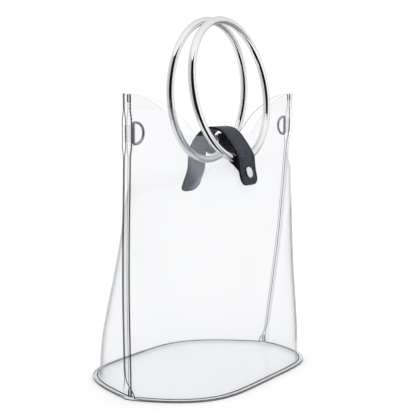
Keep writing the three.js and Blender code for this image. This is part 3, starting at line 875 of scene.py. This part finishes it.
leather_and_paint = [pebbled_leather(), painted_edge()]
back_run = off_wall(1, np.linspace(*BACK_END, 4), BACK_STRAP_DISTANCE)
front_run = off_wall(-1, np.linspace(*FRONT_END, 4), FRONT_STRAP_DISTANCE)[::-1]
arch = np.stack([0 * STRAP_ARCH[:, 0], STRAP_ARCH[:, 0], STRAP_ARCH[:, 1]], axis=-1)
strap_path = np.concatenate([back_run, arch, front_run])
tab_path = off_wall(-1, np.linspace(*FRONT_TAB, 13), LAYER_DISTANCE)
patch_path = off_wall(1, np.linspace(*BACK_PATCH, 8), LAYER_DISTANCE)
for band_name, node, path, width, thickness, round_end in (
    ("closure_strap", "strap", strap_path, strap_width, STRAP_THICKNESS, True),
    ("snap_tab", "front_tab", tab_path, tab_width, LAYER_THICKNESS, False),
    ("stitch_patch", "back_patch", patch_path, patch_width, LAYER_THICKNESS, False),
):
    band_points, band_faces, painted = leather_band(path, width, thickness, round_end)
    add_piece(band_name, band_points, band_faces, leather_and_paint, "bag", [node], painted)

leather_sewing = [
    leather_stitches(strap_path, strap_width, STRAP_THICKNESS, STRAP_SEWN, True),
    leather_stitches(patch_path, patch_width, LAYER_THICKNESS, PATCH_SEWN, False),
]
sewn_points, sewn_faces = join_meshes(leather_sewing)
add_piece("leather_thread", sewn_points, sewn_faces, [thread_material], "bag")

# Snap: a round cap of bright plated metal pressed through the strap's front end.
# The cap is turned from sheet, with a rolled rim and a shallow dished top.
SNAP_FROM_END = 12
SNAP_GAP = 0.15
SNAP_STEPS = 56
# radius and rise of the cap's outline, from the middle of its foot to the middle of its top
SNAP_PROFILE = np.array([
    (0.0, 0.0), (4.8, 0.0), (5.15, 0.12), (5.2, 0.45), (5.1, 0.85), (4.8, 1.12), (4.4, 1.2), (4.0, 1.12),
    (3.7, 1.08), (3.3, 1.14), (2.1, 1.22), (1.0, 1.27), (0.0, 1.28),
])


def bright_metal(name, tone, rim, roughness):
    """Polished plate: bright metal with painted shade that greys it at a glance, a faint haze and the finest
    rubbed scratches.
    """
    material, nodes, place = start_material(name)
    haze = nodes.add("ShaderNodeTexNoise", {}, {"Vector": place, "Scale": 90.0, "Detail": 4.0})
    rubbed = nodes.add("ShaderNodeTexNoise", {}, {"Vector": place, "Scale": 1500.0, "Detail": 2.0})
    facing = nodes.add("ShaderNodeLayerWeight", {}, {"Blend": 0.5}, "Facing")
    colour = nodes.blend_colours(haze, tuple(0.94 * c for c in tone) + (1,), tone + (1,))
    # painted shade: the colour turns grey where the surface turns away from view
    colour = nodes.blend_colours(facing ** 1.6, colour, tuple(rim * c for c in tone) + (1,))
    end_material(nodes, nodes.add("ShaderNodeBsdfPrincipled", {}, {
        "Base Color": colour, "Metallic": 1.0, "Roughness": roughness + haze * 0.02 + rubbed * 0.02,
    }))
    return material


strap_line, strap_length = smooth_path(strap_path)
snap_at = np.searchsorted(np.linspace(0, strap_length, len(strap_line)), strap_length - SNAP_FROM_END)
snap_axis = -band_outward(strap_line)[snap_at]
snap_foot = strap_line[snap_at] + snap_axis * (STRAP_THICKNESS / 2 + SNAP_GAP)
snap_up = np.cross(snap_axis, SIDEWAYS)
snap_rows = SNAP_PROFILE[1:-1]
snap_angle = 2 * np.pi * np.arange(SNAP_STEPS) / SNAP_STEPS
spokes = np.cos(snap_angle)[:, None] * SIDEWAYS + np.sin(snap_angle)[:, None] * snap_up
snap_points = [snap_foot + spokes * radius + snap_axis * rise for radius, rise in snap_rows]
snap_points += [[snap_foot], [snap_foot + snap_axis * SNAP_PROFILE[-1, 1]]]
snap_points = np.concatenate(snap_points)
k = np.arange(len(snap_rows) * SNAP_STEPS).reshape(len(snap_rows), SNAP_STEPS)
after = np.roll(k, -1, axis=1)
snap_faces = np.stack([k[:-1], k[1:], after[1:], after[:-1]], axis=-1).reshape(-1, 4).tolist()
snap_faces += [[k[0][n], after[0][n], len(snap_points) - 2] for n in range(SNAP_STEPS)]
snap_faces += [[after[-1][n], k[-1][n], len(snap_points) - 1] for n in range(SNAP_STEPS)]
snap_metal = bright_metal("snap_metal", (0.86, 0.86, 0.87), 0.5, 0.2)
add_piece("snap", snap_points, snap_faces, [snap_metal], "bag", ["snap_cap"])

# Ring handles: two rings of round chrome-plated steel, closed and polished.
# Each one stands in the loop between a wall and the strap, and the front one leans towards the other.
RING_RADIUS = 62.6
RING_WIRE = 6.8
RING_STEPS = 420
RING_SIDES = 56
# which ring, depth and height of its lowest point, and its lean in degrees
RINGS = (
    ("front", -45.9, 199.1, -9.2),
    ("back", -11.6, 197.5, 0.7),
)
chrome = bright_metal("ring_chrome", (0.95, 0.95, 0.96), 0.3, 0.03)
ring_turn = 2 * np.pi * np.arange(RING_STEPS) / RING_STEPS
ring_outline = RING_RADIUS * np.stack([np.sin(ring_turn), 1 - np.cos(ring_turn)], axis=-1)
for ring_name, pivot_depth, pivot_height, lean in RINGS:
    ring_points, ring_faces = wire_loop(ring_outline, RING_WIRE, RING_SIDES)
    tilt = math.radians(lean)
    depth = ring_points[:, 1] * math.cos(tilt) - ring_points[:, 2] * math.sin(tilt) + pivot_depth
    height = ring_points[:, 1] * math.sin(tilt) + ring_points[:, 2] * math.cos(tilt) + pivot_height
    ring_points = np.stack([ring_points[:, 0], depth, height], axis=-1)
    add_piece(
        f"{ring_name}_ring_handle", ring_points, ring_faces, [chrome], f"{ring_name}_handle",
        [f"ring_{ring_name}"],
    )

# Floor and light: a plain white floor under an even white sky, as in a light tent.
# The dim room behind the camera, out of its sight, gives the polished metal its dark bands and grey sides.
floor_material, floor_nodes, floor_place = start_material("white_floor")
floor_grain = floor_nodes.add("ShaderNodeTexNoise", {}, {"Vector": floor_place, "Scale": 3.0})
floor_colour = floor_nodes.blend_colours(floor_grain, (0.96, 0.96, 0.96, 1), (0.98, 0.98, 0.98, 1))
end_material(floor_nodes, floor_nodes.add("ShaderNodeBsdfPrincipled", {}, {
    "Base Color": floor_colour, "Roughness": 0.7, "Specular IOR Level": 0.0,
    "Emission Color": (1, 1, 1, 1), "Emission Strength": 0.06,
}))
FLOOR_HALF = 12.0


def stage_mesh(name, points, faces, material):
    """Plain mesh in metres that belongs to the studio."""
    mesh = bpy.data.meshes.new(name)
    mesh.from_pydata(points, [], faces)
    mesh.materials.append(material)
    board = bpy.data.objects.new(name, mesh)
    bpy.context.scene.collection.objects.link(board)
    return board


floor_corners = [(x * FLOOR_HALF, y * FLOOR_HALF, 0) for x, y in ((-1, -1), (1, -1), (1, 1), (-1, 1))]
stage_mesh("floor", floor_corners, [(0, 1, 2, 3)], floor_material)

world = bpy.data.worlds.new("light_tent")
world.use_nodes = True
world.node_tree.nodes["Background"].inputs["Color"].default_value = (1.0, 1.0, 1.0, 1)
world.node_tree.nodes["Background"].inputs["Strength"].default_value = 1.04
bpy.context.scene.world = world
bpy.context.scene.view_settings.view_transform = "Standard"
bpy.context.scene.cycles.transparent_max_bounces = 32

CAMERA_AZIMUTH = math.radians(-57.61)
CAMERA_PLACE = (-0.7937, -0.5146, 0.2578)
CAMERA_DOWN = math.radians(6.4)
CAMERA_LENS = 88.75
camera = bpy.data.objects.new("camera", bpy.data.cameras.new("camera"))
camera.location = CAMERA_PLACE
camera.rotation_euler = (math.pi / 2 - CAMERA_DOWN, 0, CAMERA_AZIMUTH)
camera.data.lens = CAMERA_LENS
camera.data.sensor_width = 36.0
bpy.context.scene.collection.objects.link(camera)
bpy.context.scene.camera = camera

ROOM_CENTRE = np.array([0, -0.025, 0.25])
ROOM_RADIUS = 1.8
ROOM_TURNS = 25
ROOM_RISES = 44
ROOM_BENDS_BELOW = 25
ABOVE_FLOOR = 0.003


def room_wall(name, tone, turns, rises, skew_up=0, skew_down=0):
    """Part of a dim room round the bag, seen only in polished things; turns go right from the camera."""
    material, nodes, _ = start_material(name)
    end_material(nodes, nodes.add("ShaderNodeEmission", {}, {"Color": (tone, tone, tone, 1)}))
    rise = np.linspace(*rises, ROOM_RISES)[:, None]
    skew = skew_up * np.maximum(rise, 0) + skew_down * np.maximum(-rise - ROOM_BENDS_BELOW, 0)
    turn = np.radians(np.linspace(*turns, ROOM_TURNS)[None, :] + skew) + CAMERA_AZIMUTH
    rise = np.radians(rise)
    level = np.cos(rise)
    away = np.stack([np.sin(turn) * level, -np.cos(turn) * level, np.sin(rise) + 0 * turn], axis=-1)
    to_floor = (ROOM_CENTRE[2] - ABOVE_FLOOR) / np.maximum(-away[..., 2:], 1e-6)
    points = ROOM_CENTRE + away * np.minimum(ROOM_RADIUS, to_floor)
    faces = grid_faces(ROOM_TURNS, ROOM_RISES).tolist()
    wall = stage_mesh(name, points.reshape(-1, 3).tolist(), faces, material)
    wall.visible_camera = False
    wall.visible_shadow = False
    wall.visible_diffuse = False


room_wall("dark_room", 0.008, (-38, 44), (-74, 48), 0.25, 0.9)
room_wall("grey_left", 0.62, (-100, -38), (-38, 48), 0.25)
room_wall("grey_right_floor", 0.4, (74, 170), (-60, -8))
